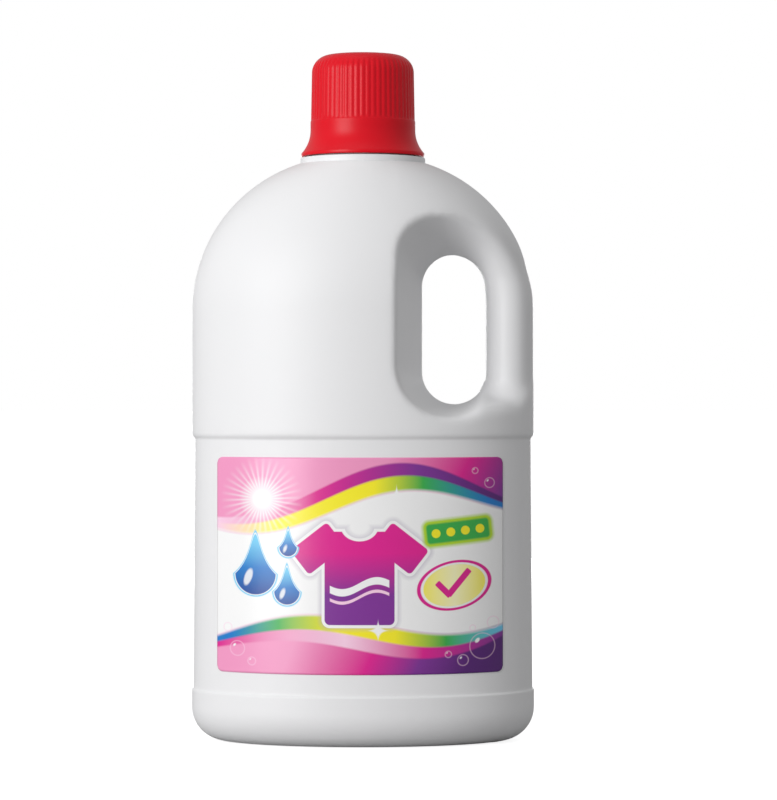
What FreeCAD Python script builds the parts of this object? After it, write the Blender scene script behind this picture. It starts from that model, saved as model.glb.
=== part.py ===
import FreeCAD, Part
import Sketcher
import math
import os

V = FreeCAD.Vector
doc = FreeCAD.newDocument("BleachBottle")
sheet = doc.addObject("Spreadsheet::Sheet", "Sizes")


class Size:
    """A length that knows its number and the same thing as a sheet expression."""

    def __init__(self, number, text=None):
        self.number = number
        self.text = repr(number) if text is None else text

    def join(self, other, sign, number):
        return Size(number, "(%s %s %s)" % (self.text, sign, size(other).text))

    def __add__(self, other):
        return self.join(other, "+", self.number + size(other).number)

    def __sub__(self, other):
        return self.join(other, "-", self.number - size(other).number)

    def __mul__(self, other):
        return self.join(other, "*", self.number * size(other).number)

    def __truediv__(self, other):
        return self.join(other, "/", self.number / size(other).number)

    __radd__, __rmul__ = __add__, __mul__


def size(x):
    return x if isinstance(x, Size) else Size(x)


def root(x):
    return Size(math.sqrt(x.number), "sqrt(%s)" % x.text)


def sine(x):
    return Size(math.sin(math.radians(x.number)), "sin(%s)" % x.text)


def cosine(x):
    return Size(math.cos(math.radians(x.number)), "cos(%s)" % x.text)


# Driving sizes in mm, counts and degrees. X points to the handle, -Y to the
# front label and Z up, from the middle of the foot.
ROWS = [
    ("half_width", 71.3, "shoulder band, half the width"),
    ("half_depth", 47.5, "shoulder band, half the depth"),
    ("wall", 1.3, "blown wall"),
    ("oval_least", 0.001, "the shoulder's last oval is at least this much wider than deep"),
    ("foot_out", 0.2, "foot band stands this far out of the shoulder band"),
    ("foot_height", 21.3, "height of the foot band"),
    ("foot_corner", 13.8, "rounding at the foot"),
    ("push_up", 3.0, "hollow under the foot"),
    ("ring_width", 9.0, "standing ring"),
    ("dome_slope", 8.0, "run of the hollow's sloping edge"),
    ("dome_under", 0.01, "the hollow's tool starts this far under the foot"),
    ("panel_height", 104.5, "label panel"),
    ("step_in", 1.2, "top of the label panel lies this far in"),
    ("step_low", 0.5, "foot of the label panel lies this far in"),
    ("band_height", 53.5, "straight band between panel and shoulder"),
    ("shoulder_rise", 61.1, "height of the shoulder's arc"),
    ("collar_radius", 26.35, "where the shoulder ends under the cap"),
    ("collar_in", 0.3, "collar lies this far inside the shoulder's end"),
    ("collar_height", 2.3, "collar"),
    ("neck_root", 4.25, "the neck's foot lies this far inside the collar"),
    ("neck_outer", 17.9, "neck radius at the thread root"),
    ("neck_wall", 1.8, "neck wall"),
    ("neck_cone", 7.3, "height of the cone up to the straight neck"),
    ("neck_height", 37.5, "collar to sealing rim"),
    ("lead", 4.2, "rise of the thread in one turn"),
    ("neck_turns", 1.25, "turns of thread on the neck"),
    ("thread_drop", 9.2, "the neck thread starts this far under the rim"),
    ("thread_out", 1.15, "thread height"),
    ("thread_foot", 1.7, "thread width at its root"),
    ("thread_crest", 0.8, "thread width at its crest"),
    ("thread_sink", 0.2, "the thread reaches this far into the neck"),
    ("thread_gap", 0.3, "clearance between the neck thread and the cap"),
    ("grip_width", 20.0, "handle tube across"),
    ("grip_depth", 27.0, "handle tube front to back"),
    ("grip_in", 0.15, "handle tube lies this far inside the outline"),
    ("grip_angle", 66.0, "how far the handle follows the shoulder arc"),
    ("grip_root", 18.7, "the tube ends this far under the opening's lower centre"),
    ("slot_end", 13.3, "end radius of the finger opening"),
    ("slot_below", 26.6, "lower end centre, under the shoulder"),
    ("slot_above", 10.0, "upper end centre, over the foot of the shoulder"),
    ("slot_turn", 20.0, "where the opening's lower arc ends, under level"),
    ("dish_deep", 50.0, "where the front outline of the recess lies"),
    ("dish_left", 1.5, "its lower corner centre, left of the opening's"),
    ("dish_corner", 23.5, "lower front corner radius of the recess"),
    ("dish_low", 3.9, "lower front corner centre, over the opening's"),
    ("dish_top", 22.0, "upper front corner radius of the recess"),
    ("dish_high", 14.2, "upper front corner centre, over the opening's"),
    ("dish_turn", 72.0, "where the front lower arc ends, under level"),
    ("dish_reach", 18.7, "the recess runs out this far past the side"),
    ("dish_side", 14.7, "its lower edge at the side, under the opening's lower centre"),
    ("dish_thick", 0.8, "extra wall along the recess"),
    ("cap_rib", 21.4, "rib crests, radius"),
    ("band_out", 0.5, "smooth band stands out of the ribs"),
    ("rim_out", 3.8, "flared rim stands out of the band"),
    ("cap_gap", 0.6, "rim stands this far over the collar"),
    ("flare_arc", 14.4, "radius of the flare"),
    ("flare_height", 11.1, "rim to the top of the flare"),
    ("smooth_height", 5.6, "flare to the foot of the ribs"),
    ("rib_count", 58, "ribs round the cap"),
    ("rib_cut", 0.5, "groove depth between two ribs"),
    ("rib_tool", 0.95, "groove radius"),
    ("skirt_wall", 1.6, "cap wall at the rim"),
    ("cap_roof", 1.8, "cap top in the middle"),
    ("seat_drop", 2.5, "the ring that holds the wad hangs this far under the top"),
    ("seat_in", 6.35, "width of that ring"),
    ("cap_corner", 7.5, "rounding at the top of the cap"),
    ("wad_thick", 1.2, "sealing wad"),
    ("wad_gap", 0.3, "clearance round the wad"),
    ("label_left", 11.8, "left edge of the label, from the side"),
    ("label_right", 13.8, "right edge of the label, from the side"),
    ("label_low", 9.2, "lower edge of the label, over the foot band"),
    ("label_high", 7.4, "upper edge of the label, under the panel's top"),
    ("label_corner", 2.4, "label corners"),
    ("label_thick", 0.12, "label film"),
]
S = {}
for row, (alias, number, note) in enumerate(ROWS, 1):
    sheet.set("A%d" % row, alias)
    sheet.set("B%d" % row, str(number))
    sheet.set("C%d" % row, note)
    sheet.setAlias("B%d" % row, alias)
    S[alias] = Size(float(number), "Sizes." + alias)
doc.recompute()


def bind(obj, prop, value):
    obj.setExpression(prop, size(value).text)


def ellipse(name, a, b, z, turn=0):
    obj = doc.addObject("Part::Ellipse", name)
    a, b, z = size(a), size(b), size(z)
    obj.MajorRadius, obj.MinorRadius = a.number, b.number
    obj.Placement = FreeCAD.Placement(V(0, 0, z.number), FreeCAD.Rotation(V(0, 0, 1), turn))
    bind(obj, "MajorRadius", a)
    bind(obj, "MinorRadius", b)
    bind(obj, "Placement.Base.z", z)
    return obj


def loft(name, sections, ruled):
    obj = doc.addObject("Part::Loft", name)
    obj.Sections, obj.Solid, obj.Ruled = sections, True, ruled
    return obj


def fuse(name, shapes):
    obj = doc.addObject("Part::MultiFuse", name)
    obj.Shapes = shapes
    return obj


def cut(name, base, tool):
    obj = doc.addObject("Part::Cut", name)
    obj.Base, obj.Tool = base, tool
    return obj


def origin_plane(body, role):
    return [f for f in body.Origin.OriginFeatures if f.Role == role][0]


def sketch(body, name, role, offset=0):
    sk = body.newObject("Sketcher::SketchObject", name)
    sk.AttachmentSupport = (origin_plane(body, role), [""])
    sk.MapMode = "FlatFace"
    offset = size(offset)
    sk.AttachmentOffset = FreeCAD.Placement(V(0, 0, offset.number), FreeCAD.Rotation())
    bind(sk, "AttachmentOffset.Base.z", offset)
    return sk


def datum(sk, kind, *rest):
    """A dimension whose last argument is a Size. Its sign follows the size."""
    value = size(rest[-1])
    i = sk.addConstraint(Sketcher.Constraint(kind, *rest[:-1], value.number))
    sk.setExpression("Constraints[%d]" % i, value.text)


def outline(sk, corners):
    """A closed outline through corners (x, y), each a Size. A corner that has
    (radius, side) after it starts an arc of that radius to the next corner,
    with side 1 for one that bulges to the right of the way it goes."""
    n = len(corners)
    at = [V(size(c[0]).number, size(c[1]).number, 0) for c in corners]
    ends = []
    for i, c in enumerate(corners):
        p, q = at[i], at[(i + 1) % n]
        forward = len(c) == 2 or c[3] > 0
        ends.append((1, 2) if forward else (2, 1))
        if len(c) == 2:
            sk.addGeometry(Part.LineSegment(p, q), False)
            continue
        first, last = (p, q) if forward else (q, p)
        radius, half = size(c[2]).number, (last - first).Length / 2
        left = V(first.y - last.y, last.x - first.x, 0).normalize()
        middle = (first + last) * 0.5 + left * math.sqrt(max(radius * radius - half * half, 0))
        a, b = [math.atan2(e.y - middle.y, e.x - middle.x) for e in (first, last)]
        if b < a:
            b += 2 * math.pi
        sk.addGeometry(Part.ArcOfCircle(Part.Circle(middle, V(0, 0, 1), radius), a, b), False)
    for i in range(n):
        j = (i + 1) % n
        sk.addConstraint(Sketcher.Constraint("Coincident", i, ends[i][1], j, ends[j][0]))
    for i, c in enumerate(corners):
        for kind, value in (("DistanceX", c[0]), ("DistanceY", c[1])):
            if abs(size(value).number) < 1e-9:
                axis = -2 if kind == "DistanceX" else -1
                sk.addConstraint(Sketcher.Constraint("PointOnObject", i, ends[i][0], axis))
            else:
                datum(sk, kind, -1, 1, i, ends[i][0], value)
        if len(c) > 2:
            datum(sk, "Radius", i, c[2])
    return sk


def revolved(name, corners):
    """A body turned about Z from an outline in the XZ plane."""
    body = doc.addObject("PartDesign::Body", name)
    sk = outline(sketch(body, name + "_profile", "XZ_Plane"), corners)
    turn = body.newObject("PartDesign::Revolution", name + "_turn")
    turn.Profile = sk
    turn.ReferenceAxis = (sk, ["V_Axis"])
    turn.Angle = 360
    return body


def arc_half(half, radius, rise):
    """Half size at a rise above the start of an arc that closes inwards."""
    return half - radius + root(radius * radius - rise * rise)


nothing = size(0.0)
panel_low = S["foot_height"]
panel_high = panel_low + S["panel_height"]
shoulder_low = panel_high + S["band_height"]
rise = S["shoulder_rise"]
shoulder_high = shoulder_low + rise
collar = S["collar_radius"]
collar_top = shoulder_high + S["collar_height"]


def closing_arc(half):
    """Radius of the arc that starts upright at half and ends on the collar."""
    fall = half - collar
    return (rise * rise + fall * fall) / (fall * 2)


# The shoulder closes on one arc seen from the front, and on a flatter one seen
# from the side, so that both meet the round collar.
front_arc = closing_arc(S["half_width"])
side_arc = closing_arc(S["half_depth"])

# The opening lies beside the handle tube, and the recess lies round it.
slot_middle = S["half_width"] - S["grip_in"] - S["grip_width"] - S["slot_end"]
slot_low = shoulder_low - S["slot_below"]
slot_high = shoulder_low + S["slot_above"]
grip_low = slot_low - S["grip_root"]


def blown_form(tag, inset):
    """The bottle's body without handle or neck, moved in by inset."""
    foot_w = S["half_width"] + S["foot_out"]
    foot_d = S["half_depth"] + S["foot_out"]
    corner = S["foot_corner"] - inset
    rows = []
    steps = 6
    for k in range(steps + 1):
        a = math.radians(90 * k / steps)
        rows.append(ellipse(
            "%s_foot_%d" % (tag, k),
            foot_w - S["foot_corner"] + corner * round(math.sin(a), 6),
            foot_d - S["foot_corner"] + corner * round(math.sin(a), 6),
            S["foot_corner"] - corner * round(math.cos(a), 6)))
    parts = [loft(tag + "_foot", rows, False)]
    low, high = panel_low - inset, panel_high + inset
    rim = ellipse(tag + "_foot_rim", foot_w - inset, foot_d - inset, low)
    parts.append(loft(tag + "_foot_band", [rows[-1], rim], True))
    panel = [
        ellipse(tag + "_panel_low", S["half_width"] - S["step_low"] - inset,
                S["half_depth"] - S["step_low"] - inset, low),
        ellipse(tag + "_panel_high", S["half_width"] - S["step_in"] - inset,
                S["half_depth"] - S["step_in"] - inset, high)]
    parts.append(loft(tag + "_panel", panel, True))
    band = [ellipse(tag + "_band_low", S["half_width"] - inset, S["half_depth"] - inset, high)]
    # Equal steps of angle, so that the ovals crowd where the arc leans most.
    rows = []
    steps = 8
    for k in range(steps + 1):
        share = round(math.sin(math.radians(72 * k / steps)) / math.sin(math.radians(72)), 6)
        up = rise * share
        lean = root(size(1.0) - (up / front_arc) * (up / front_arc))
        rows.append(ellipse(
            "%s_shoulder_%d" % (tag, k),
            arc_half(S["half_width"], front_arc, up) - inset * lean + S["oval_least"],
            arc_half(S["half_depth"], side_arc, up) - inset * lean,
            shoulder_low + up - inset * (up / front_arc)))
    band.append(rows[0])
    parts.append(loft(tag + "_band", band, True))
    parts.append(loft(tag + "_shoulder", rows, False))
    return fuse(tag + "_form", parts)


def recess(tag, grow):
    """Front and back halves of the finger recess, both narrowing to the middle."""
    body = doc.addObject("PartDesign::Body", tag + "_recess")
    faces = []
    out = S["half_width"] + S["dish_reach"]
    for name, deep, cx, low_r, low, top_r, high, turn in (
        ("middle", nothing, slot_middle, S["slot_end"], slot_low,
         S["slot_end"], slot_high, S["slot_turn"]),
        ("front", S["dish_deep"], slot_middle - S["dish_left"], S["dish_corner"],
         slot_low + S["dish_low"], S["dish_top"], slot_high + S["dish_high"], S["dish_turn"]),
    ):
        sk = sketch(body, "%s_%s" % (tag, name), "XZ_Plane", deep)
        low_r, top_r = low_r + grow, top_r + grow
        left = cx - low_r
        end = (cx + low_r * cosine(turn), low - low_r * sine(turn))
        outline(sk, [
            (left, high),
            (left, low, low_r, 1),
            (cx, low - low_r, low_r, 1),
            end,
            (out, slot_low - S["dish_side"]),
            (out, high + top_r),
            (left + top_r, high + top_r, top_r, 1),
        ])
        faces.append(sk)
    tool = body.newObject("PartDesign::AdditiveLoft", tag + "_dish")
    tool.Profile, tool.Sections, tool.Ruled = faces[0], [faces[1]], True
    both = body.newObject("PartDesign::Mirrored", tag + "_both")
    both.Originals = [tool]
    both.MirrorPlane = (origin_plane(body, "XZ_Plane"), [""])
    body.Tip = both
    return body


def grip(tag, inset, low):
    """The handle tube: straight, then bent with the shoulder."""
    half = S["grip_width"] / 2
    bend = front_arc - half - S["grip_in"]
    middle = S["half_width"] - half - S["grip_in"]
    a = math.radians(S["grip_angle"].number)
    body = doc.addObject("PartDesign::Body", tag + "_grip")
    path = sketch(body, tag + "_grip_path", "XZ_Plane")
    x, z, r = middle.number, shoulder_low.number, bend.number
    path.addGeometry(Part.LineSegment(V(x, size(low).number, 0), V(x, z, 0)), False)
    centre = V(x - r, z, 0)
    path.addGeometry(Part.ArcOfCircle(Part.Circle(centre, V(0, 0, 1), r), 0, a), False)
    con = Sketcher.Constraint
    path.addConstraint(con("Coincident", 0, 2, 1, 1))
    path.addConstraint(con("Vertical", 0))
    path.addConstraint(con("Horizontal", 1, 3, 1, 1))
    datum(path, "DistanceX", -1, 1, 0, 1, middle)
    datum(path, "DistanceY", -1, 1, 0, 1, low)
    datum(path, "DistanceY", -1, 1, 0, 2, shoulder_low)
    datum(path, "Radius", 1, bend)
    datum(path, "DistanceY", -1, 1, 1, 2, shoulder_low + bend * sine(S["grip_angle"]))
    section = sketch(body, tag + "_grip_section", "XY_Plane", low)
    wide, deep = half - inset, S["grip_depth"] / 2 - inset
    section.addGeometry(Part.Ellipse(V(x, deep.number, 0), V(x + wide.number, 0, 0), V(x, 0, 0)), False)
    section.exposeInternalGeometry(0)
    section.addConstraint(con("Vertical", 1))
    section.addConstraint(con("PointOnObject", 0, 3, -1))
    datum(section, "DistanceX", -1, 1, 0, 3, middle)
    datum(section, "Distance", 1, deep * 2)
    datum(section, "Distance", 2, wide * 2)
    tube = body.newObject("PartDesign::AdditivePipe", tag + "_grip_tube")
    tube.Profile, tube.Spine = section, path
    body.Tip = tube
    return body


def dome(tag, grow):
    """What the hollow under the foot takes away, made larger by grow."""
    w = S["half_width"] + S["foot_out"] - S["foot_corner"] - S["ring_width"]
    d = S["half_depth"] + S["foot_out"] - S["foot_corner"] - S["ring_width"]
    slope = S["dome_slope"]
    low = ellipse(tag + "_dome_low", w + grow, d + grow, nothing - S["dome_under"])
    high = ellipse(tag + "_dome_high", w - slope + grow, d - slope + grow, S["push_up"] + grow)
    return loft(tag + "_dome", [low, high], True)


wall = S["wall"]
outside = cut("outside_cut", blown_form("outside", nothing), recess("outside", nothing))
outside = cut("outside_footed", outside, dome("outside", nothing))
cavity = cut("cavity_cut", blown_form("cavity", wall), recess("cavity", wall + S["dish_thick"]))
cavity = cut("cavity_footed", cavity, dome("cavity", wall))

edge = collar - S["collar_in"]
foot = edge - S["neck_root"]
neck_in = S["neck_outer"] - S["neck_wall"]
neck_low = collar_top + S["neck_cone"]
neck_top = collar_top + S["neck_height"]
neck = revolved("neck", [
    (nothing, shoulder_high - S["collar_height"]),
    (edge, shoulder_high - S["collar_height"]),
    (edge, collar_top),
    (foot, collar_top),
    (S["neck_outer"], neck_low),
    (S["neck_outer"], neck_top),
    (nothing, neck_top),
])
bore = revolved("bore", [
    (nothing, shoulder_high - S["collar_height"] * 2),
    (foot, shoulder_high - S["collar_height"] * 2),
    (foot, collar_top - wall * 1.5),
    (foot - wall * 1.5, collar_top),
    (neck_in, neck_low),
    (neck_in, neck_top + wall),
    (nothing, neck_top + wall),
])

# A right-hand thread runs up the neck, from its root to its crest.
thread_low = neck_top - S["thread_drop"]
thread_foot = S["neck_outer"] - S["thread_sink"]
thread_crest = S["neck_outer"] + S["thread_out"]
ridge = outline(sketch(neck, "thread_profile", "XZ_Plane"), [
    (thread_foot, thread_low - S["thread_foot"] / 2),
    (thread_crest, thread_low - S["thread_crest"] / 2),
    (thread_crest, thread_low + S["thread_crest"] / 2),
    (thread_foot, thread_low + S["thread_foot"] / 2),
])
coil = neck.newObject("PartDesign::AdditiveHelix", "neck_thread")
coil.Profile = ridge
coil.ReferenceAxis = (ridge, ["V_Axis"])
coil.Mode = 1
coil.Pitch, coil.Turns = S["lead"].number, S["neck_turns"].number
coil.LeftHanded, coil.Reversed = False, False
bind(coil, "Pitch", S["lead"])
bind(coil, "Turns", S["neck_turns"])
neck.Tip = coil

solid = fuse("bottle_solid", [outside, grip("outside", nothing, grip_low), neck])
hollow = fuse("bottle_hollow", [cavity, grip("cavity", wall, grip_low + wall), bore])
bottle = cut("bottle", solid, hollow)

# The cap seats on the wad, which seats on the neck's rim.
roof_in = neck_top + S["wad_thick"]
cap_top = roof_in + S["seat_drop"] + S["cap_roof"]
cap_in = thread_crest + S["thread_gap"]
cap_low = collar_top + S["cap_gap"]
flare_top = cap_low + S["flare_height"]
rib_low = flare_top + S["smooth_height"]
band = S["cap_rib"] + S["band_out"]
rim = band + S["rim_out"]
flare_back = S["flare_arc"] - S["rim_out"]
flare_drop = root(S["flare_arc"] * S["flare_arc"] - flare_back * flare_back)
seat = cap_in - S["seat_in"]
cap = revolved("cap", [
    (nothing, cap_top),
    (S["cap_rib"] - S["cap_corner"], cap_top, S["cap_corner"], -1),
    (S["cap_rib"], cap_top - S["cap_corner"]),
    (S["cap_rib"], rib_low),
    (band, rib_low),
    (band, flare_top, S["flare_arc"], 1),
    (rim, flare_top - flare_drop),
    (rim, cap_low),
    (rim - S["skirt_wall"], cap_low),
    (cap_in, flare_top),
    (cap_in, roof_in),
    (seat, roof_in),
    (seat, roof_in + S["seat_drop"]),
    (nothing, roof_in + S["seat_drop"]),
])
round_sketch = sketch(cap, "rib_groove", "XY_Plane", rib_low)
groove_at = S["cap_rib"] - S["rib_cut"] + S["rib_tool"]
round_sketch.addGeometry(
    Part.Circle(V(groove_at.number, 0, 0), V(0, 0, 1), S["rib_tool"].number), False)
round_sketch.addConstraint(Sketcher.Constraint("PointOnObject", 0, 3, -1))
datum(round_sketch, "DistanceX", -1, 1, 0, 3, groove_at)
datum(round_sketch, "Radius", 0, S["rib_tool"])
groove = cap.newObject("PartDesign::Pocket", "rib_cut")
groove.Profile, groove.Reversed = round_sketch, True
groove.Length = (cap_top - rib_low + S["cap_roof"]).number
bind(groove, "Length", cap_top - rib_low + S["cap_roof"])
ribs = cap.newObject("PartDesign::PolarPattern", "ribs")
ribs.Originals = [groove]
ribs.Axis = (round_sketch, ["N_Axis"])
ribs.Angle = 360
ribs.Occurrences = int(S["rib_count"].number)
bind(ribs, "Occurrences", S["rib_count"])
cap.Tip = ribs

wad = revolved("cap_wad", [
    (nothing, neck_top),
    (cap_in - S["wad_gap"], neck_top),
    (cap_in - S["wad_gap"], roof_in),
    (nothing, roof_in),
])

# The label is a film on the panel: the panel grown by the film, less the panel,
# kept inside a rounded outline.
film = S["label_thick"]
grown = loft("label_grown", [
    ellipse("label_grown_low", S["half_width"] - S["step_low"] + film,
            S["half_depth"] - S["step_low"] + film, panel_low),
    ellipse("label_grown_high", S["half_width"] - S["step_in"] + film,
            S["half_depth"] - S["step_in"] + film, panel_high)], True)
panel = doc.getObject("outside_panel")
skin = cut("label_skin", grown, panel)
stamp = doc.addObject("PartDesign::Body", "label_outline")
left, right = S["label_left"] - S["half_width"], S["half_width"] - S["label_right"]
low, high, r = panel_low + S["label_low"], panel_high - S["label_high"], S["label_corner"]
shape = outline(sketch(stamp, "label_sketch", "XZ_Plane"), [
    (left + r, low),
    (right - r, low, r, 1),
    (right, low + r),
    (right, high - r, r, 1),
    (right - r, high),
    (left + r, high, r, 1),
    (left, high - r),
    (left, low + r, r, 1),
])
block = stamp.newObject("PartDesign::Pad", "label_block")
block.Profile = shape
block.Length = (S["half_depth"] * 1.2).number
bind(block, "Length", S["half_depth"] * 1.2)
stamp.Tip = block
label = doc.addObject("Part::Common", "front_label")
label.Base, label.Tool = skin, stamp

NODES = {"bottle": bottle, "cap": cap, "cap_wad": wad, "front_label": label}
for name, obj in NODES.items():
    obj.Label = name
doc.recompute()

for obj in doc.Objects:
    if "Invalid" in obj.State or "Error" in obj.State:
        raise RuntimeError("%s: %s" % (obj.Name, obj.State))
os.makedirs("parts", exist_ok=True)
for name, obj in NODES.items():
    if obj.Shape.isNull() or not obj.Shape.isValid() or len(obj.Shape.Solids) != 1:
        raise RuntimeError("%s: no single valid solid" % name)
    obj.Shape.exportStep("parts/%s.step" % name)
    print(name, round(obj.Shape.Volume, 1), obj.Shape.BoundBox)
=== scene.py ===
import math

import bmesh
import bpy
import numpy as np
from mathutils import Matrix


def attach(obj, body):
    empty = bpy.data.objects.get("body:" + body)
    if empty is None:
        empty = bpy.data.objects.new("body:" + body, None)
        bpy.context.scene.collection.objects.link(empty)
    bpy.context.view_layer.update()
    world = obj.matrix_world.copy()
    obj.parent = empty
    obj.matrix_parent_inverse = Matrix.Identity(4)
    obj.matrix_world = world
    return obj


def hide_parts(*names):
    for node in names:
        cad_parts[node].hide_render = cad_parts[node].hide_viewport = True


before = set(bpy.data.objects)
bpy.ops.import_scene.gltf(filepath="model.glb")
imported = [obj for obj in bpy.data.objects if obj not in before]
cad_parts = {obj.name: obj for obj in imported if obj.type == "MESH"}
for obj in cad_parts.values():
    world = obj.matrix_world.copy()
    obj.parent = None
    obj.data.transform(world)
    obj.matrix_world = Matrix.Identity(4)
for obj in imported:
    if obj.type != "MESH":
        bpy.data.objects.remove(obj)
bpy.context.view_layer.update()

bl_info = {
    "name": "Handled Oval Bottle",
    "version": (1, 0, 0),
    "blender": (4, 5, 0),
    "location": "View3D > Sidebar > Bottle",
    "description": "Dresses a packed handled oval bottle: blown skin, ribbed cap, printed film and studio",
    "category": "Object",
}

FLT, INT, VEC, PTR = (
    bpy.props.FloatProperty, bpy.props.IntProperty, bpy.props.FloatVectorProperty,
    bpy.props.PointerProperty)


def metres(name, text, value):
    """A length that a user may change."""
    return FLT(name=name, description=text, default=value, unit="LENGTH", precision=5)


def colour(name, text, value):
    """A colour that a user may change."""
    return VEC(name=name, description=text, default=value, size=3, min=0, max=1, subtype="COLOR")


class BottleForm(bpy.types.PropertyGroup):
    """Sizes of the blown skin, as the frame has them."""
    half_width: metres("Half width", "Half the width of the shoulder band", 0.0713)
    half_depth: metres("Half depth", "Half the depth of the shoulder band", 0.0475)
    wall: metres("Wall", "Thickness of the blown wall", 0.0013)
    cell: metres("Cell", "Size of a mesh cell on the outside", 0.0017)
    rim_round: metres("Recess rounding", "How far the recess's border is softened", 0.0026)
    root_round: metres("Root rounding", "How far the handle's ends are softened", 0.009)
    white: colour("White", "Colour of the polyethylene", (0.80, 0.80, 0.81))


class CapForm(bpy.types.PropertyGroup):
    """Sizes of the screw cap, as the frame has them."""
    ribs: INT(name="Ribs", description="Ribs round the cap", default=58, min=8)
    red: colour("Red", "Colour of the polypropylene", (0.70, 0.004, 0.014))


class LabelForm(bpy.types.PropertyGroup):
    """Place of the printed film on the panel."""
    left: metres("Left", "Left edge from the middle", 0.0595)
    right: metres("Right", "Right edge from the middle", 0.0575)
    low: metres("Low", "Lower edge", 0.0305)
    high: metres("High", "Upper edge", 0.1184)
    corner: metres("Corner", "Corner radius", 0.0024)
    film: metres("Film", "Film thickness", 0.00012)


# All sizes are in millimetres, heights from the floor, down to the studio.
# The wall: how far the panel stands in at its top and its foot, the foot band's step
# out and its edge's radius, the panel's two ends, the start and length of the ramp
# at each end, and the shoulder's arc, worked out a little past its end.
STEP_IN, STEP_LOW, FOOT_OUT, FOOT_R = 1.2, 0.5, 0.2, 13.8
PANEL_LOW, PANEL_HIGH = 21.3, 125.8
LOW_RAMP, HIGH_RAMP = (PANEL_LOW - 0.3, 0.9), (PANEL_HIGH - 0.5, 2.2)
ARC_LOW, ARC_HIGH, ARC_R, PAST_ARC = 179.3, 240.4, 64.0, 1.5

# The push-up in the foot: how far its oval stands inside the foot's edge, its
# height, the shares of the oval where it starts and over which it rises, and its
# rounding.
DOME_INSET, DOME_TALL, DOME_EDGE, DOME_RISE, DOME_SOFT = 13.0, 3.8, 1.18, 0.36, 0.8

# The finger recess in the XZ plane. Each pair holds a value on the middle plane and
# the value that it would have RECESS_DEEP away from it: the middle of the slot, the
# height and radius of its lower and its upper arc, and the corner where the border
# turns towards a far point. Then how softly the two recesses meet, over what height
# the border turns level, how softly the slot opens to the side, and the way through.
RECESS_DEEP, RECESS_X = 50.0, (38.2, 36.4)
RECESS_LOW, RECESS_LOW_R = (153.3, 156.6), (13.0, 23.5)
RECESS_TOP, RECESS_TOP_R = (188.8, 203.5), (13.0, 22.0)
CORNER_X, CORNER_Z, FAR_X, FAR_Z = (50.4, 43.6), (148.2, 134.2), 90.0, 138.0
VALLEY, LEVEL_OVER, SLOT_SOFT = 0.6, 8.0, 1.0
OPENING_R, OPENING_SOFT = 12.4, 2.0

# The handle tube: half its width, its half depth low down and in the shoulder, how
# far it stands inside the outline, how far from the middle it starts, and the start
# and length of the change in depth.
GRIP_HALF, GRIP_DEEP, GRIP_ROOT, GRIP_IN, GRIP_START = 10.0, 13.5, 30.0, 0.15, 20.0
GRIP_GROW = (190.0, 45.0)

# Roundings that change along the skin: the start and length of each change across X
# and up Z, and the rounding or roundings that it leads to.
MELT_X, MELT_Z, MELT_LEAST, MELT_ROUND = (32.0, 22.0), (165.0, 30.0), 0.35, 11.0
TIGHT_X, TIGHT_Z, TIGHT_ROUND = (47.0, 12.0), (175.0, 15.0), 3.5
BLEND_X, BLEND_Z, BLEND_END, BLEND_ROUND = (30.0, 15.0), (185.0, 12.0), (222.0, 12.0), (0.4, 2.4)

# The thread: its lead, its height, where it starts, its turns on the neck and in the
# cap, the share of a turn over which it runs out, its half width, its flank and the
# mesh's step beside it.
LEAD, THREAD_OUT, THREAD_LOW, NECK_TURNS, CAP_TURNS = 4.2, 1.15, 271.0, 1.25, 1.0
THREAD_FADE, THREAD_HALF, THREAD_FLANK, THREAD_CELL = 0.06, 0.85, 0.45, 0.35

# The neck: its radius and its bore's, the radii where both open out into the
# collar, the heights of the collar's top, of the inside's shoulder, of the foot of
# the straight neck and of the rim, and where the neck meets the blown skin.
NECK_R, BORE_R, CONE_R, BORE_CONE_R = 17.9, 16.1, 21.8, 20.5
COLLAR_TOP, BORE_CONE_LOW, NECK_LOW, NECK_TOP = 242.7, 241.6, 250.0, 280.2
COLLAR_BACK, COLLAR_INSIDE, COLLAR_LOW, COLLAR_INSIDE_LOW = 0.3, 1.9, 238.9, 239.0

# The skin's mesh: where the rows start outside and inside, where the fine rows at the
# top start and end, and their step; the heights where the cells change, each with
# the most that a cell measures from there; the room round the bottle, how much
# larger the inside's cells are, how many rows are worked out at once, and how much
# of the top isn't moved; and the lid under the neck that is left out, with its reach
# outside and inside.
MESH_LOW, MESH_INSIDE_LOW, MESH_FINE, MESH_TOP, TOP_CELL = -1.5, 0.0, 238.5, 240.35, 0.5
MESH_ROWS = ((18.0, math.inf), (20.0, 0.3), (22.2, math.inf),
             (124.0, math.inf), (124.6, 0.35), (127.2, math.inf))
MESH_BORDER, INSIDE_CELL, SLAB, FIXED_TOP = 2.0, 1.6, 40, 0.7
LID_LOW, LID_REACH, LID_INSIDE_REACH = 239.0, 26.0, 23.0

# The cap: the radii of its ribs, band, rim, skirt's inside, bore and roof's hollow;
# its heights from the rim to the top; the flare's radius and points, the ribs'
# draft and the crown's rounding; the grooves' depth, how narrow their floor is, over
# what height they run out, and from what radius and over what length they deepen;
# and the wad's radius and rounding.
RIB_R, BAND_R, RIM_R, SKIRT_R, CAP_BORE_R, HOLLOW_R = 21.7, 21.9, 25.7, 24.1, 19.35, 13.0
RIM_LOW, FLARE_TOP, BAND_TOP, RIB_LOW = 243.3, 254.4, 258.0, 258.1
CAP_THREAD_LOW, CAP_THREAD_TOP, WAD_TOP, ROOF_LOW, CAP_TOP = 266.5, 275.5, 281.4, 283.9, 285.7
FLARE_R, FLARE_POINTS, DRAFT, CROWN_R = 14.4, 14, 0.5, 7.5
GROOVE, GROOVE_SHARP, GROOVE_RUN, GROOVE_EDGE, GROOVE_FADE = 0.24, 1.6, 0.5, 19.4, 1.4
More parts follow.
